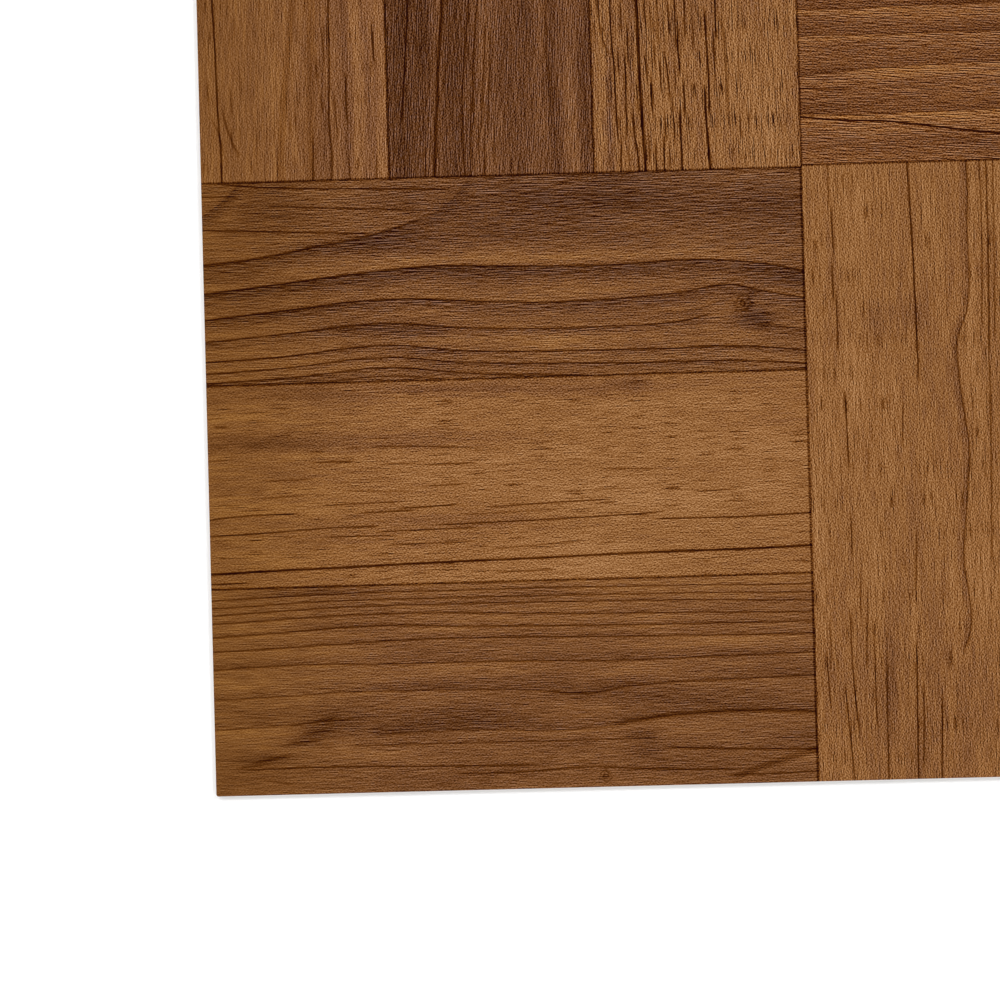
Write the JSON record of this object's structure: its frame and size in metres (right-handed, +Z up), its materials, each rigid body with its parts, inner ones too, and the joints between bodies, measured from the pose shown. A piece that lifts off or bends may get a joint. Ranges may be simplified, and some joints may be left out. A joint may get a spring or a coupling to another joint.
{
  "type": "self-adhesive vinyl floor tile",
  "caption": "Thin square die-cut vinyl floor tile with a parquet wood print on its face and a flat adhesive back, laid edge to edge on a smooth floor.",
  "frame": {"origin": "middle of the flat adhesive back, on the floor that the tile lies on", "axes": "+Z up out of the printed face; +X and +Y along the cut edges, with +Y towards the top of the pictured print"},
  "size_m": [0.3048, 0.3048, 0.0012],
  "materials": {
    "vinyl": "satin"
  },
  "bodies": {
    "root": {"vinyl_tile": "vinyl"}
  },
  "joints": []
}
